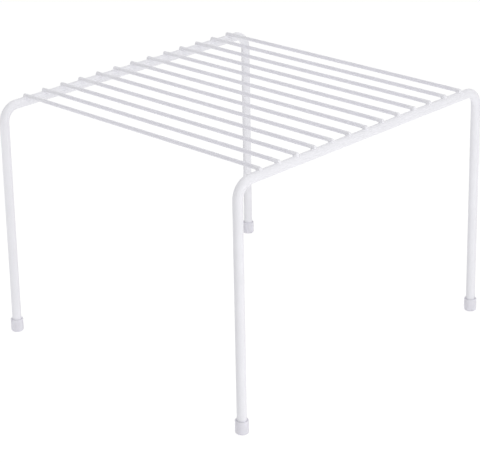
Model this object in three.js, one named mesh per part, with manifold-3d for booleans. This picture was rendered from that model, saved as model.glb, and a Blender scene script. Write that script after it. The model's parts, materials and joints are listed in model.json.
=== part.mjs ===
// Free-standing closet shelf organizer of coated steel wire: two side frames, each one rod bent
// into leg, rail and leg, carry a deck of straight cross wires and stand on push-on foot caps.
// Millimetres. X runs along the deck wires, Y along the rails with the front at -Y, +Z is up,
// and the origin is on the floor under the middle of the deck.

import * as THREE from "three";
import { mergeVertices } from "three/addons/utils/BufferGeometryUtils.js";
import Module from "manifold-3d";

const wasm = await Module();
wasm.setup();

// Driving dimensions, over the coating
const RAIL_SPACING = 238.5; // between the axes of the two rails
const LEG_SPACING = 260; // between the axes of a frame's two legs, at the rail
const RAIL_HEIGHT = 182; // of a rail's axis above the floor
const LEG_SPLAY = 1.55; // each foot stands this far out of its corner, sideways and lengthways
const ROD_DIAMETER = 7.1;
const BEND_RADIUS = 11.8; // of the rod's axis
const WIRE_COUNT = 13;
const WIRE_DIAMETER = 3;
const WIRE_OVERHANG = 1.5; // of a wire's end past the rail's axis
const WIRE_END_CHAMFER = 0.5;
const BEND_TO_WIRE = 9.4; // straight rail between a bend and the first wire
const WELD_SINK = 0.45; // a weld lets the wire this far down into the rail
const WELD_GAP = 0.1; // left between the wire's saddle and the rail
const CAP_HEIGHT = 10;
const CAP_WALL = 1.15;
const CAP_FLOOR = 1.8;
const CAP_FIT = 0.15; // all round between a leg and its cap
const CAP_SEAT = 0.2; // between a leg's cut end and the cap's floor
const CAP_BASE_RADIUS = 1.2;
const CAP_LIP = 0.7; // wall left at the mouth, where the bore opens out
const CAP_LIP_CHAMFER = 0.2;
const CAP_MOUTH_DEPTH = 0.9; // of the stretch of bore that opens out

// Fineness of the round stretches
const ROD_SIDES = 24;
const BEND_STEPS = 10;
const WIRE_SIDES = 16;
const CAP_SIDES = 32;
const FILLET_STEPS = 4;

const rodRadius = ROD_DIAMETER / 2;
const wireRadius = WIRE_DIAMETER / 2;

const coatedSteel = { color: 0xf1f1f5, roughness: 0.35, metalness: 0 };
const milkyVinyl = { color: 0xe3e3ea, roughness: 0.5, metalness: 0 };

function namedMesh(name, geometry, finish) {
  const mesh = new THREE.Mesh(geometry, new THREE.MeshStandardMaterial(finish));
  mesh.name = name;
  return mesh;
}

function solidFrom(geometry) {
  const bare = geometry.clone().deleteAttribute("normal").deleteAttribute("uv");
  const merged = mergeVertices(bare);
  return new wasm.Manifold(
    new wasm.Mesh({
      numProp: 3,
      vertProperties: merged.attributes.position.array,
      triVerts: new Uint32Array(merged.index.array),
    }),
  );
}

function geometryFrom(solid) {
  const { vertProperties, triVerts } = solid.getMesh();
  const geometry = new THREE.BufferGeometry();
  geometry.setAttribute("position", new THREE.BufferAttribute(vertProperties, 3));
  geometry.setIndex(new THREE.BufferAttribute(triVerts, 1));
  geometry.computeVertexNormals();
  return geometry;
}

// Round stretches have flat sides, and measure their full diameter across the flats.
function cornerRadius(radius, sides) {
  return radius / Math.cos(Math.PI / sides);
}

// Turns a profile of [radius, height] points about the Z axis, with flats facing along X and Y.
function turned(profile, sides) {
  const points = profile.map(
    ([radius, height]) => new THREE.Vector2(cornerRadius(radius, sides), height),
  );
  return new THREE.LatheGeometry(points, sides, Math.PI / sides).rotateX(Math.PI / 2);
}

// Centre line of a bent rod: straight runs through the given corners, with every inner corner
// rounded to one radius. It is sampled at its stations: the ends of the runs and along the arcs.
class BentRodLine extends THREE.Curve {
  constructor(corners, radius, bendSteps) {
    super();
    this.stations = [];
    const last = corners.length - 1;
    const runs = corners.slice(1).map((corner, i) => corner.clone().sub(corners[i]).normalize());
    this.stations.push({ point: corners[0], tangent: runs[0] });
    for (let i = 1; i < last; i++) this.addBend(corners[i], runs[i - 1], runs[i], radius, bendSteps);
    this.stations.push({ point: corners[last], tangent: runs[last - 1] });
  }

  addBend(corner, before, after, radius, bendSteps) {
    const turn = before.angleTo(after);
    const axis = before.clone().cross(after).normalize();
    const start = corner.clone().addScaledVector(before, -radius * Math.tan(turn / 2));
    const centre = start.clone().addScaledVector(axis.clone().cross(before), radius);
    for (let step = 0; step <= bendSteps; step++) {
      const angle = (turn * step) / bendSteps;
      const point = start.clone().sub(centre).applyAxisAngle(axis, angle).add(centre);
      this.stations.push({ point, tangent: before.clone().applyAxisAngle(axis, angle) });
    }
  }

  get steps() {
    return this.stations.length - 1;
  }

  getPoint(t, target = new THREE.Vector3()) {
    return target.copy(this.stations[Math.round(t * this.steps)].point);
  }

  getTangent(t, target = new THREE.Vector3()) {
    return target.copy(this.stations[Math.round(t * this.steps)].tangent);
  }

  // Stations are taken in order, not by length along the line.
  getUtoTmapping(u) {
    return u;
  }
}

// Side frame: one rod from the front foot over the rail to the back foot, for the right side
const legBottom = CAP_FLOOR + CAP_SEAT;
const corners = {
  front: new THREE.Vector3(RAIL_SPACING / 2, -LEG_SPACING / 2, RAIL_HEIGHT),
  back: new THREE.Vector3(RAIL_SPACING / 2, LEG_SPACING / 2, RAIL_HEIGHT),
};
const feet = {
  front: corners.front.clone().add(new THREE.Vector3(LEG_SPLAY, -LEG_SPLAY, -RAIL_HEIGHT)),
  back: corners.back.clone().add(new THREE.Vector3(LEG_SPLAY, LEG_SPLAY, -RAIL_HEIGHT)),
};

function sideFrameGeometry() {
  const cutEnd = (end) => feet[end].clone().lerp(corners[end], legBottom / RAIL_HEIGHT);
  const line = new BentRodLine(
    [cutEnd("front"), corners.front, corners.back, cutEnd("back")],
    BEND_RADIUS,
    BEND_STEPS,
  );
  const flatsUp = Math.PI / ROD_SIDES;
  const corner = cornerRadius(rodRadius, ROD_SIDES);
  const section = new THREE.Shape().absarc(0, 0, corner, flatsUp, flatsUp + 2 * Math.PI);
  return new THREE.ExtrudeGeometry(section, {
    extrudePath: line,
    steps: line.steps,
    curveSegments: ROD_SIDES / 2,
  });
}

// Foot cap: a cup on the leg's end with a flat base, leaning out with the leg towards +X
function footCapGeometry() {
  const bore = rodRadius + CAP_FIT;
  const outer = bore + CAP_WALL;
  const profile = [[0, 0]];
  for (let step = 0; step <= FILLET_STEPS; step++) {
    const angle = (Math.PI / 2) * (step / FILLET_STEPS);
    profile.push([
      outer - CAP_BASE_RADIUS * (1 - Math.sin(angle)),
      CAP_BASE_RADIUS * (1 - Math.cos(angle)),
    ]);
  }
  profile.push(
    [outer, CAP_HEIGHT - CAP_LIP_CHAMFER],
    [outer - CAP_LIP_CHAMFER, CAP_HEIGHT],
    [outer - CAP_LIP, CAP_HEIGHT],
    [bore, CAP_HEIGHT - CAP_MOUTH_DEPTH],
    [bore, CAP_FLOOR],
    [0, CAP_FLOOR],
  );
  const lean = Math.hypot(LEG_SPLAY, LEG_SPLAY) / RAIL_HEIGHT;
  return turned(profile, CAP_SIDES).applyMatrix4(
    new THREE.Matrix4().makeShear(0, 0, 0, 0, -lean, 0),
  );
}

// Deck wire: a straight cut wire along X with a saddle under each end where it is welded to a rail
const wireRise = rodRadius + wireRadius - WELD_SINK; // of a wire's axis above a rail's

function deckWireGeometry() {
  const half = RAIL_SPACING / 2 + WIRE_OVERHANG;
  const profile = [
    [0, -half],
    [wireRadius - WIRE_END_CHAMFER, -half],
    [wireRadius, WIRE_END_CHAMFER - half],
    [wireRadius, half - WIRE_END_CHAMFER],
    [wireRadius - WIRE_END_CHAMFER, half],
    [0, half],
  ];
  const wire = turned(profile, WIRE_SIDES).rotateY(Math.PI / 2);
  const saddleRadius = rodRadius + WELD_GAP;
  const reach = WIRE_DIAMETER; // the saddles' cutter goes right through the wire
  const saddle = turned(
    [[0, -reach], [saddleRadius, -reach], [saddleRadius, reach], [0, reach]],
    ROD_SIDES,
  ).rotateX(Math.PI / 2);
  const saddles = [-1, 1].map((side) =>
    solidFrom(saddle.clone().translate((side * RAIL_SPACING) / 2, 0, -wireRise)),
  );
  return geometryFrom(saddles.reduce((cut, tool) => cut.subtract(tool), solidFrom(wire)));
}

// Assembly
const organizer = new THREE.Group();
organizer.name = "closet_shelf_organizer";

const frameGeometry = sideFrameGeometry();
const capGeometry = footCapGeometry();
const sides = [
  { side: "right", turn: 0, ends: { front: "front", back: "back" } },
  { side: "left", turn: Math.PI, ends: { front: "back", back: "front" } },
];
for (const { side, turn, ends } of sides) {
  const half = new THREE.Group();
  half.rotation.z = turn;
  half.add(namedMesh(`${side}_side_frame`, frameGeometry, coatedSteel));
  for (const [end, facing] of Object.entries(ends)) {
    const cap = namedMesh(`foot_cap_${facing}_${side}`, capGeometry, milkyVinyl);
    cap.position.copy(feet[end]);
    cap.rotation.z = Math.atan2(feet[end].y - corners[end].y, feet[end].x - corners[end].x);
    half.add(cap);
  }
  organizer.add(half);
}

const deck = new THREE.Group();
deck.position.z = RAIL_HEIGHT + wireRise;
const wireGeometry = deckWireGeometry();
const deckLength = LEG_SPACING - 2 * (BEND_RADIUS + BEND_TO_WIRE);
const wirePitch = deckLength / (WIRE_COUNT - 1);
for (let i = 0; i < WIRE_COUNT; i++) {
  const wire = namedMesh(`deck_wire_${String(i + 1).padStart(2, "0")}`, wireGeometry, coatedSteel);
  wire.position.y = i * wirePitch - deckLength / 2;
  deck.add(wire);
}
organizer.add(deck);

export default organizer;
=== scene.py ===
import json
from functools import lru_cache
from math import atan2, copysign, cos, hypot, pi, radians, sin, sqrt, tan

import bmesh
import bpy
from mathutils import Matrix, Quaternion, Vector, noise


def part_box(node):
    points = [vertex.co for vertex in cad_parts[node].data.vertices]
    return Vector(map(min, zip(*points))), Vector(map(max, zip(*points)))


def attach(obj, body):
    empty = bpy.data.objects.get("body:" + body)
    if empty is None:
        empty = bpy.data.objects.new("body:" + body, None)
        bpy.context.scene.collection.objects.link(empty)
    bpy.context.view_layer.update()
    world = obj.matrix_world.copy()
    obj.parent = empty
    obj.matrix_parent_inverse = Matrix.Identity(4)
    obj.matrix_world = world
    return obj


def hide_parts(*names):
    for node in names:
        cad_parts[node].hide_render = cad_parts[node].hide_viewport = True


# Closet shelf organizer of white coated wire: bent side frames, cross wires and foot caps
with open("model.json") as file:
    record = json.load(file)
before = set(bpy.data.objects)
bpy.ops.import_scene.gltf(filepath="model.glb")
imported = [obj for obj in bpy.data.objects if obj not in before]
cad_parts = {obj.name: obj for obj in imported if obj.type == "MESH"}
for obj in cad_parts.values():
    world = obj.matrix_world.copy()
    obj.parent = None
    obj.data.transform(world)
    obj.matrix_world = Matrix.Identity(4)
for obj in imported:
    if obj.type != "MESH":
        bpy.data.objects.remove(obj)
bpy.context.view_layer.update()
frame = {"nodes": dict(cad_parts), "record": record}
mm = 0.001
print("frame:", len(frame["nodes"]), "pieces to dress")


# Camera, at the photograph's angle
view = {
    "aim": Vector((0.0017, -0.0063, 0.0774)),
    "azimuth": radians(43.93),
    "elevation": radians(22.68),
    "roll": radians(-1.07),
    "distance": 1.2567,
    "lens": 123.0,  # on a sensor 36 mm wide
    "clipStart": 0.05,
}


def placeCamera():
    camera = bpy.data.objects.new("camera", bpy.data.cameras.new("camera"))
    camera.data.lens = view["lens"]
    camera.data.clip_start = view["clipStart"]
    flat = cos(view["elevation"])
    back = Vector((
        sin(view["azimuth"]) * flat,
        -cos(view["azimuth"]) * flat,
        sin(view["elevation"]),
    ))
    level = (-back).to_track_quat("-Z", "Y")
    camera.location = view["aim"] + back * view["distance"]
    camera.rotation_mode = "QUATERNION"
    camera.rotation_quaternion = level @ Quaternion((0, 0, 1), view["roll"])
    bpy.context.collection.objects.link(camera)
    bpy.context.scene.camera = camera


placeCamera()
bpy.context.scene.view_settings.view_transform = "Standard"
print("camera: set")


# Materials
def newMaterial(name):
    material = bpy.data.materials.new(name)
    material.use_nodes = True
    tree = material.node_tree
    place = tree.nodes.new("ShaderNodeTexCoord").outputs["Object"]
    return material, tree, tree.nodes["Principled BSDF"], place


def addNoise(tree, place, size, detail=2.0):
    cloud = tree.nodes.new("ShaderNodeTexNoise")
    cloud.inputs["Scale"].default_value = 1 / size
    cloud.inputs["Detail"].default_value = detail
    tree.links.new(place, cloud.inputs["Vector"])
    return cloud.outputs["Fac"]


def addAxis(tree, place, axis):
    axes = tree.nodes.new("ShaderNodeSeparateXYZ")
    tree.links.new(place, axes.inputs[0])
    return axes.outputs[axis]


def addColourMix(tree, factor, first, second):
    mix = tree.nodes.new("ShaderNodeMix")
    mix.data_type = "RGBA"
    for name, colour in (("A", first), ("B", second)):
        if isinstance(colour, tuple):
            mix.inputs[name].default_value = (*colour, 1)
        else:
            tree.links.new(colour, mix.inputs[name])
    tree.links.new(factor, mix.inputs["Factor"])
    return mix.outputs["Result"]


def addRange(tree, factor, low, high, start=0.3, end=0.7):
    spread = tree.nodes.new("ShaderNodeMapRange")
    spread.inputs["From Min"].default_value = start
    spread.inputs["From Max"].default_value = end
    spread.inputs["To Min"].default_value = low
    spread.inputs["To Max"].default_value = high
    tree.links.new(factor, spread.inputs["Value"])
    return spread.outputs["Result"]


def addMath(tree, operation, *values):
    step = tree.nodes.new("ShaderNodeMath")
    step.operation = operation
    for socket, value in zip(step.inputs, values):
        if isinstance(value, (int, float)):
            socket.default_value = value
        else:
            tree.links.new(value, socket)
    return step.outputs[0]


def addBump(tree, height, depth, strength=0.5):
    bump = tree.nodes.new("ShaderNodeBump")
    bump.inputs["Strength"].default_value = strength
    bump.inputs["Distance"].default_value = depth
    tree.links.new(height, bump.inputs["Height"])
    return bump.outputs["Normal"]


coating = {
    "ownCoatTones": ((0.855, 0.851, 0.888), (0.88, 0.876, 0.914)),  # the coating's own colour, on rods, welds and the wire ends
    "shadedWireTones": ((0.808, 0.8, 0.855), (0.832, 0.824, 0.88)),  # painted shade: a darker copy of the coating, on the deck wires
    "wireShadeEndsNearWeld": (111.5 * mm, 115.5 * mm),  # out along a wire, where its painted shade gives way to the own colour towards the weld
    "wireShadeEndsLeft": (-88 * mm, -103 * mm),  # along a wire, where its painted shade gives way to the own colour towards the left end
    "cloudSize": 16 * mm,
    "cloudDetail": 3.0,
    "peelSize": 2.2 * mm,
    "peelDepth": 0.006 * mm,
    "gloss": 0.25,
    "smooth": 0.32,  # least roughness
    "dull": 0.4,  # most roughness
}


def coatingMaterial():
    material, tree, shader, place = newMaterial("white_coating")
    cloud = addNoise(tree, place, coating["cloudSize"], coating["cloudDetail"])
    peel = addNoise(tree, place, coating["peelSize"])
    tone = addRange(tree, cloud, 0, 1)
    link = tree.links.new
    along = addAxis(tree, place, "X")
    # painted shade: the deck wires take the darker tones, except near the welds and the left end
    shadeGoneNearWeld = addRange(tree, addMath(tree, "ABSOLUTE", along), 0, 1, *coating["wireShadeEndsNearWeld"])
    wireShadeEndsLeft = addRange(tree, along, 0, 1, *coating["wireShadeEndsLeft"])
    shadeGone = addMath(tree, "MAXIMUM", shadeGoneNearWeld, wireShadeEndsLeft)
    shadedWire = addColourMix(tree, tone, *coating["shadedWireTones"])
    ownCoat = addColourMix(tree, tone, *coating["ownCoatTones"])
    link(addColourMix(tree, shadeGone, shadedWire, ownCoat), shader.inputs["Base Color"])
    link(addRange(tree, peel, coating["smooth"], coating["dull"]), shader.inputs["Roughness"])
    link(addBump(tree, peel, coating["peelDepth"]), shader.inputs["Normal"])
    shader.inputs["Specular IOR Level"].default_value = coating["gloss"]
    return material


vinyl = {
    "clear": (0.914, 0.9, 0.985),
    "milky": (0.884, 0.87, 0.957),
    "paintedBaseShade": (0.62, 0.605, 0.67),  # painted shade at the edge of the base, next to the floor
    "baseShadeHeights": (1.2 * mm, 0.3 * mm),  # above the floor, where the painted shade starts and is full
    "cloudSize": 5 * mm,
    "cloudDetail": 3.0,
    "grainSize": 0.5 * mm,
    "grainDepth": 0.015 * mm,
    "smooth": 0.3,  # least roughness
    "dull": 0.4,  # most roughness
    "letsThrough": 0.15,
    "bending": 1.4,  # index of refraction
    "scatter": 0.4,
    "scatterDepth": 1.5 * mm,
}


def vinylMaterial():
    material, tree, shader, place = newMaterial("milky_vinyl")
    cloud = addNoise(tree, place, vinyl["cloudSize"], vinyl["cloudDetail"])
    grain = addNoise(tree, place, vinyl["grainSize"])
    tone = addRange(tree, cloud, 0, 1)
    link = tree.links.new
    # painted shade: the cap darkens towards the floor
    baseShade = addRange(tree, addAxis(tree, place, "Z"), 0, 1, *vinyl["baseShadeHeights"])
    clean = addColourMix(tree, tone, vinyl["milky"], vinyl["clear"])
    link(addColourMix(tree, baseShade, clean, vinyl["paintedBaseShade"]), shader.inputs["Base Color"])
    link(addRange(tree, grain, vinyl["smooth"], vinyl["dull"]), shader.inputs["Roughness"])
    link(addBump(tree, grain, vinyl["grainDepth"]), shader.inputs["Normal"])
    shader.inputs["Transmission Weight"].default_value = vinyl["letsThrough"]
    shader.inputs["IOR"].default_value = vinyl["bending"]
    shader.inputs["Subsurface Weight"].default_value = vinyl["scatter"]
    shader.inputs["Subsurface Scale"].default_value = vinyl["scatterDepth"]
    shader.inputs["Subsurface Radius"].default_value = (1, 1, 1)
    return material


whiteCoating = coatingMaterial()
milkyVinyl = vinylMaterial()
print("materials: white coating, milky vinyl")


# Common steps for every piece
def edgesOf(parts):
    return [part for part in parts if isinstance(part, bmesh.types.BMEdge)]


def startRing(bm, sides, radius, matrix):
    made = bmesh.ops.create_circle(bm, segments=sides, radius=radius, matrix=matrix)
    return list({edge for vert in made["verts"] for edge in vert.link_edges})


def drawOut(bm, ring, run, steps):
    made = bmesh.ops.spin(bm, geom=ring, axis=(0, 0, 1), dvec=run / steps, angle=0, steps=steps)
    return edgesOf(made["geom_last"])


def roundEdges(bm, edges, rounding, segments):
    bmesh.ops.bevel(
        bm,
        geom=edges,
        offset=rounding,
        segments=segments,
        profile=0.5,
        affect="EDGES",
        material=-1,
    )


def closeEnds(bm):
    rims = [edge for edge in bm.edges if edge.is_boundary]
    ends = bmesh.ops.holes_fill(bm, edges=rims)["faces"]
    bmesh.ops.recalc_face_normals(bm, faces=bm.faces)
    return ends


# Uneven thickness of the coating, which only dips below the full size
def wave(bm, depth, length):
    bm.normal_update()
    for vert in bm.verts:
        dip = 0.5 + 0.5 * noise.noise(vert.co / length)
        vert.co -= vert.normal * depth * dip


def finishPiece(bm, name, material, node):
    bmesh.ops.recalc_face_normals(bm, faces=bm.faces)
    for face in bm.faces:
        face.smooth = True
    mesh = bpy.data.meshes.new(name)
    bm.to_mesh(mesh)
    bm.free()
    mesh.materials.append(material)
    piece = bpy.data.objects.new(name, mesh)
    bpy.context.collection.objects.link(piece)
    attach(piece, "root")
    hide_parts(node)


# Side frames, each one rod bent into leg, rail and leg
rod = {
    "radius": 3.55 * mm,
    "bendRadius": 11.8 * mm,  # of the rod's axis
    "cutHeight": 2 * mm,  # of a leg's end above the floor, inside its cap
    "cutRounding": 0.4 * mm,
    "cutSegments": 3,
    "sides": 48,
    "bendSteps": 28,
    "ringStep": 5 * mm,
    "waveDepth": 0.05 * mm,
    "waveLength": 22 * mm,
}

feet = {mount["name"]: Vector(mount["pos_m"]) for mount in frame["record"]["mounts"]}


def footOf(side, end):
    return feet["foot_" + end + "_" + side]


def railOf(side):
    low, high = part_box(side + "_side_frame")
    inner = high.x if side == "left" else low.x
    outward = -1 if side == "left" else 1
    return Vector((inner + outward * rod["radius"], 0, high.z - rod["radius"]))


def cornerOf(side, end):
    foot = footOf(side, end)
    rail = railOf(side)
    splay = abs(foot.x) - abs(rail.x)
    return Vector((rail.x, foot.y - splay * copysign(1, foot.y), rail.z))


def bendRound(bm, ring, corner, before, after):
    axis = before.cross(after).normalized()
    turn = before.angle(after)
    start = corner - before * rod["bendRadius"] * tan(turn / 2)
    centre = start + axis.cross(before) * rod["bendRadius"]
    made = bmesh.ops.spin(bm, geom=ring, cent=centre, axis=axis, angle=turn, steps=rod["bendSteps"])
    return edgesOf(made["geom_last"])


def sideFrame(side):
    corners = [cornerOf(side, "front"), cornerOf(side, "back")]
    cuts = []
    for end, corner in zip(("front", "back"), corners):
        cuts.append(footOf(side, end).lerp(corner, rod["cutHeight"] / corner.z))
    points = [cuts[0], corners[0], corners[1], cuts[1]]
    runs = [after - before for before, after in zip(points, points[1:])]
    headings = [run.normalized() for run in runs]
    trims = [rod["bendRadius"] * tan(a.angle(b) / 2) for a, b in zip(headings, headings[1:])]
    straights = [
        runs[0].length - trims[0],
        runs[1].length - trims[0] - trims[1],
        runs[2].length - trims[1],
    ]

    bm = bmesh.new()
    turn = headings[0].to_track_quat("Z", "Y").to_matrix().to_4x4()
    ring = startRing(bm, rod["sides"], rod["radius"], Matrix.Translation(cuts[0]) @ turn)
    for index, heading in enumerate(headings):
        steps = round(straights[index] / rod["ringStep"])
        ring = drawOut(bm, ring, heading * straights[index], steps)
        if index < len(corners):
            ring = bendRound(bm, ring, corners[index], heading, headings[index + 1])
    rims = {edge for end in closeEnds(bm) for edge in end.edges}
    roundEdges(bm, list(rims), rod["cutRounding"], rod["cutSegments"])
    wave(bm, rod["waveDepth"], rod["waveLength"])
    finishPiece(bm, "coated_frame_" + side, whiteCoating, side + "_side_frame")


for side in ("left", "right"):
    sideFrame(side)
print("side frames: left and right")


# Deck wires, each end welded onto a rail and drowned in coating
wire = {
    "radius": 1.5 * mm,
    "noseLength": 2 * mm,  # rounded end, past the rail's axis
    "noseSteps": 12,
    "noseFullness": 4,  # a power: how long the end stays thick
    "noseTaper": 1.5,  # a power: how gently it runs out
    "tipShare": 0.05,  # of the wire's radius, at the hidden tip
    "weldSpan": 5 * mm,  # coating's fillet, from the rail's axis inwards
    "weldRuns": ((2.4 * mm, 12), (1.2 * mm, 30), (1.4 * mm, 7)),  # its lengths and ring counts
    "ringStep": 6 * mm,
    "sides": 64,
}
weld = {
    "blend": 1.5 * mm,  # reach of the coating that fills the corner between wire and rail
    "tuck": 0.02 * mm,  # of the coating's edge below the rail's surface
    "sink": 0.3 * mm,  # the same, for the middle of the hidden underside
    "toe": 0.6 * mm,  # the same, at the wire's very end
    "underside": radians(28.125),  # five sides of a ring, from straight down
    "drop": 1.25,  # of the rings' middles below the wire's axis, in its radii
    "ease": 1.9 * mm,  # stretch in which they come up by one radius
    "sharp": radians(60),  # angle over which an edge isn't smoothed
    "near": 0.002 * mm,  # to the skin, where the search for it ends
    "lift": 0.1 * mm,  # of the rings' middles above the rail, at least
    "leastShare": 0.1,  # of the wire's radius, for the blend at the tip
    "furthest": 1.4,  # that the search goes from the bare wire, in blends
    "footStart": 0.05,  # share of the underside that is open where the wire leaves the rail
    "halvings": 16,  # of a stretch, to find where the skin leaves the rail
    "alongDigits": 7,  # decimals kept of a place along the wire
    "turnDigits": 5,  # decimals kept of a direction
}
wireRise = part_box("deck_wire_01")[1].z - wire["radius"] - railOf("left").z


def noseShare(past):
    gone = min(1, max(0, past / wire["noseLength"]))
    return max(wire["tipShare"], (1 - gone ** wire["noseFullness"]) ** wire["noseTaper"])


def smoothJoin(first, second, blend):
    lap = max(0, blend - abs(first - second))
    return min(first, second) - lap**2 / (4 * blend)


# Wire's radius and rise over the rail's axis, middle of the coating's ring, and its blend
@lru_cache
def weldRing(along):
    left = noseShare(-along)
    crest = sqrt(max(0, rod["radius"] ** 2 - along**2))
    rise = crest + (wireRise - crest) * left - weld["toe"] * (1 - left)
    radius = wire["radius"] * left
    drop = min(weld["drop"], (wire["weldSpan"] - along) / weld["ease"])
    middle = min(rise, max(rise - radius * drop, crest + weld["lift"]))
    return radius, rise, middle, weld["blend"] * max(left, weld["leastShare"]) ** 2


# Skin of the coating in a direction turned from straight down, and whether it is inside the rail
def weldSkin(along, turn, sink):
    radius, rise, middle, blend = weldRing(along)
    reach = max(0, radius - (rise - middle))
    while True:
        point = Vector((along, sin(turn) * reach, middle - cos(turn) * reach))
        offRail = hypot(point.x, point.z) - rod["radius"] + weld["tuck"]
        offWire = hypot(point.y, point.z - rise) - radius
        depth = -smoothJoin(offWire, offRail, blend)
        if offRail < -sink:
            return point, True
        if offWire >= weld["furthest"] * blend or depth < weld["near"]:
            return point, False
        reach += max(weld["near"], min(depth, offRail + sink))


def lastInside(inside, outside, isInside):
    for halving in range(weld["halvings"]):
        middle = (inside + outside) / 2
        if isInside(middle):
            inside = middle
        else:
            outside = middle
    return inside


webEnd = lastInside(0, wire["weldSpan"], lambda along: weldSkin(along, 0, weld["tuck"])[1])


@lru_cache
def footTurn(along):
    if along > webEnd:
        opened = (along - webEnd) / (wire["weldSpan"] - webEnd) + weld["footStart"]
        return weld["underside"] * min(1, opened)
    return lastInside(0, pi, lambda turn: weldSkin(along, turn, weld["tuck"])[1])


# Direction of the coating's skin for a point of the bare wire, both turned from straight down
def skinTurn(along, turn):
    foot, underside = footTurn(along), weld["underside"]
    if turn < underside:
        return turn * foot / underside
    radius, rise, middle = weldRing(along)[:3]
    half = max(atan2(radius, middle - rise), pi - (pi - foot) * pi / 2 / (pi - underside))
    if turn < pi / 2:
        return foot + (half - foot) * (turn - underside) / (pi / 2 - underside)
    return pi - (pi - half) * (pi - turn) / (pi / 2)


def coatWeld(vert, height, rail):
    facing = 1 if rail.x < 0 else -1
    along = round((vert.co.x - rail.x) * facing, weld["alongDigits"])
    if along > wire["weldSpan"]:
        return
    turn = round(atan2(abs(vert.co.y), height - vert.co.z), weld["turnDigits"])
    hidden = max(0, 1 - turn / weld["underside"])
    sink = weld["tuck"] + (weld["sink"] - weld["tuck"]) * hidden
    point = weldSkin(along, skinTurn(along, turn), sink)[0]
    vert.co = rail + Vector((point.x * facing, copysign(point.y, vert.co.y), point.z))


def wireBody():
    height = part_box("deck_wire_01")[1].z - wire["radius"]
    rails = [railOf("left"), railOf("right")]
    between = rails[1].x - rails[0].x - 2 * wire["weldSpan"]
    nose = (wire["noseLength"], wire["noseSteps"])
    bare = (between, round(between / wire["ringStep"]))
    runs = [nose, *wire["weldRuns"], bare, *reversed(wire["weldRuns"]), nose]

    bm = bmesh.new()
    start = Matrix.Translation((rails[0].x - wire["noseLength"], 0, height))
    ring = startRing(bm, wire["sides"], wire["radius"], start @ Matrix.Rotation(radians(90), 4, "Y"))
    for length, steps in runs:
        ring = drawOut(bm, ring, Vector((length, 0, 0)), steps)
    for vert in bm.verts:
        for rail in rails:
            coatWeld(vert, height, rail)
    bmesh.ops.remove_doubles(bm, verts=bm.verts, dist=weld["near"])
    closeEnds(bm)
    for edge in bm.edges:
        edge.smooth = edge.calc_face_angle() < weld["sharp"]
    return bm


def deckWire(number, body):
    node = "deck_wire_%02d" % number
    low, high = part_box(node)
    bm = body.copy()
    bmesh.ops.translate(bm, verts=bm.verts, vec=(0, (low.y + high.y) / 2, 0))
    wave(bm, rod["waveDepth"], rod["waveLength"])
    finishPiece(bm, "coated_wire_%02d" % number, whiteCoating, node)


body = wireBody()
wireCount = sum(name.startswith("deck_wire_") for name in frame["nodes"])
for number in range(1, wireCount + 1):
    deckWire(number, body)
body.free()
print("deck wires:", wireCount)


# Foot caps, soft cups pushed onto the legs
cap = {
    "bore": 3.6 * mm,
    "wall": 1.25 * mm,
    "floor": 1.8 * mm,
    "lip": 0.9 * mm,  # wall left at the mouth
    "mouthDepth": 0.4 * mm,
    "baseRounding": 1.2 * mm,
    "baseSegments": 6,
    "lipRounding": 0.5 * mm,
    "lipSegments": 4,
    "mouthRounding": 0.15 * mm,
    "mouthSegments": 3,
    "steps": 64,
    "near": 0.001 * mm,  # between points that count as one
}


def onRim(vert, radius, height):
    return hypot(hypot(vert.co.x, vert.co.y) - radius, vert.co.z - height) < cap["near"]


def roundRim(bm, radius, height, kind):
    rim = [edge for edge in bm.edges if all(onRim(vert, radius, height) for vert in edge.verts)]
    roundEdges(bm, rim, cap[kind + "Rounding"], cap[kind + "Segments"])


def footCap(side, end):
    node = "foot_cap_" + end + "_" + side
    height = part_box(node)[1].z
    outer = cap["bore"] + cap["wall"]
    mouth = outer - cap["lip"]
    outline = [
        (0, 0),
        (outer, 0),
        (outer, height),
        (mouth, height),
        (cap["bore"], height - cap["mouthDepth"]),
        (cap["bore"], cap["floor"]),
        (0, cap["floor"]),
    ]
    bm = bmesh.new()
    points = [bm.verts.new((radius, 0, rise)) for radius, rise in outline]
    lines = [bm.edges.new(pair) for pair in zip(points, points[1:])]
    bmesh.ops.spin(
        bm,
        geom=points + lines,
        axis=(0, 0, 1),
        angle=radians(360),
        steps=cap["steps"],
        use_merge=True,
    )
    bmesh.ops.remove_doubles(bm, verts=bm.verts, dist=cap["near"])
    bmesh.ops.recalc_face_normals(bm, faces=bm.faces)
    roundRim(bm, outer, 0, "base")
    roundRim(bm, outer, height, "lip")
    roundRim(bm, mouth, height, "mouth")
    roundRim(bm, cap["bore"], height - cap["mouthDepth"], "mouth")

    foot = footOf(side, end)
    lean = (cornerOf(side, end) - foot) / cornerOf(side, end).z
    for vert in bm.verts:
        vert.co += Vector((foot.x + lean.x * vert.co.z, foot.y + lean.y * vert.co.z, 0))
    finishPiece(bm, "vinyl_cap_" + end + "_" + side, milkyVinyl, node)


for side in ("left", "right"):
    for end in ("front", "back"):
        footCap(side, end)
print("foot caps:", len(feet))


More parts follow.
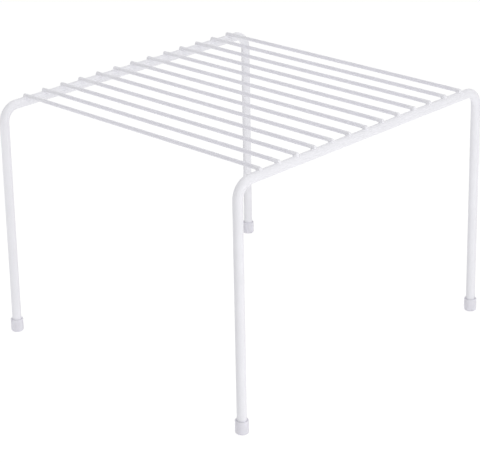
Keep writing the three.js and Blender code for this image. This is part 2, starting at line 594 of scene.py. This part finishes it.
# Floor, world and lamps
studio = {
    "floorSize": 4.0,
    "floorDrop": 0.1 * mm,
    "floorTone": (0.95, 0.95, 0.95),
    "floorGlow": 1.165,
    "seenGlow": 0.72,  # share of the floor's look that light and shadow leave alone
    "bounceGlow": 0.34,  # the same, in the light that the floor throws back
    "fill": (0.73, 0.73, 0.73),
    "dimFill": (0.02, 0.02, 0.02),
    "dimSide": Vector((-0.68, -0.65, 0.34)),  # direction in which the fill is dim
    "dimPower": 3,  # how closely the dimness keeps to that direction
}
lamps = {
    "overhead": {"at": (0, 0, 0.9), "aim": (0, 0, 0.1), "size": (0.6, 0.6), "watts": 1.2},
    "key": {"at": (0.64, -0.66, 0.46), "aim": (0, 0, 0.1), "size": (0.5, 0.4), "watts": 0.86},
    "right": {"at": (0.62, 0, 0.13), "aim": (0, 0, 0.1), "size": (0.4, 0.25), "watts": 0.36},
    "front": {"at": (-0.3, -0.35, 0.12), "aim": (-0.12, -0.13, 0.12), "size": (0.3, 0.25), "watts": 0.17},
}


def seenDirectly(tree):
    ray = tree.nodes.new("ShaderNodeLightPath").outputs
    seen = addMath(tree, "MAXIMUM", ray["Is Camera Ray"], ray["Is Glossy Ray"])
    return addMath(tree, "MAXIMUM", seen, ray["Is Transmission Ray"])


def floorMaterial():
    material = bpy.data.materials.new("white_floor")
    material.use_nodes = True
    tree = material.node_tree
    tree.nodes.remove(tree.nodes["Principled BSDF"])
    link = tree.links.new
    matt = tree.nodes.new("ShaderNodeBsdfDiffuse")
    matt.inputs["Color"].default_value = (*studio["floorTone"], 1)
    glow = tree.nodes.new("ShaderNodeEmission")
    glow.inputs["Strength"].default_value = studio["floorGlow"]
    share = addRange(tree, seenDirectly(tree), studio["bounceGlow"], studio["seenGlow"], 0, 1)
    mix = tree.nodes.new("ShaderNodeMixShader")
    link(share, mix.inputs["Fac"])
    link(matt.outputs[0], mix.inputs[1])
    link(glow.outputs[0], mix.inputs[2])
    link(mix.outputs[0], tree.nodes["Material Output"].inputs["Surface"])
    return material


def layFloor():
    bm = bmesh.new()
    bmesh.ops.create_grid(bm, x_segments=1, y_segments=1, size=studio["floorSize"])
    bmesh.ops.translate(bm, verts=bm.verts, vec=(0, 0, -studio["floorDrop"]))
    mesh = bpy.data.meshes.new("floor")
    bm.to_mesh(mesh)
    bm.free()
    mesh.materials.append(floorMaterial())
    floor = bpy.data.objects.new("floor", mesh)
    bpy.context.collection.objects.link(floor)


def lightWorld():
    world = bpy.data.worlds.new("studio")
    world.use_nodes = True
    tree = world.node_tree
    towards = tree.nodes.new("ShaderNodeVectorMath")
    towards.operation = "DOT_PRODUCT"
    towards.inputs[1].default_value = studio["dimSide"]
    tree.links.new(tree.nodes.new("ShaderNodeTexCoord").outputs["Generated"], towards.inputs[0])
    facing = addRange(tree, towards.outputs["Value"], 0, 1, 0, 1)
    dimness = addMath(tree, "POWER", facing, studio["dimPower"])
    fill = addColourMix(tree, dimness, studio["fill"], studio["dimFill"])
    white = addColourMix(tree, seenDirectly(tree), fill, (1, 1, 1))
    tree.links.new(white, tree.nodes["Background"].inputs["Color"])
    bpy.context.scene.world = world


def hangLamp(name, spec):
    lamp = bpy.data.lights.new(name, "AREA")
    lamp.shape = "RECTANGLE"
    lamp.size, lamp.size_y = spec["size"]
    lamp.energy = spec["watts"]
    holder = bpy.data.objects.new(name, lamp)
    holder.visible_camera = False
    holder.location = spec["at"]
    holder.rotation_mode = "QUATERNION"
    holder.rotation_quaternion = (Vector(spec["aim"]) - holder.location).to_track_quat("-Z", "Y")
    bpy.context.collection.objects.link(holder)


layFloor()
lightWorld()
for name, spec in lamps.items():
    hangLamp(name, spec)
print("studio: floor, world and", len(lamps), "lamps")
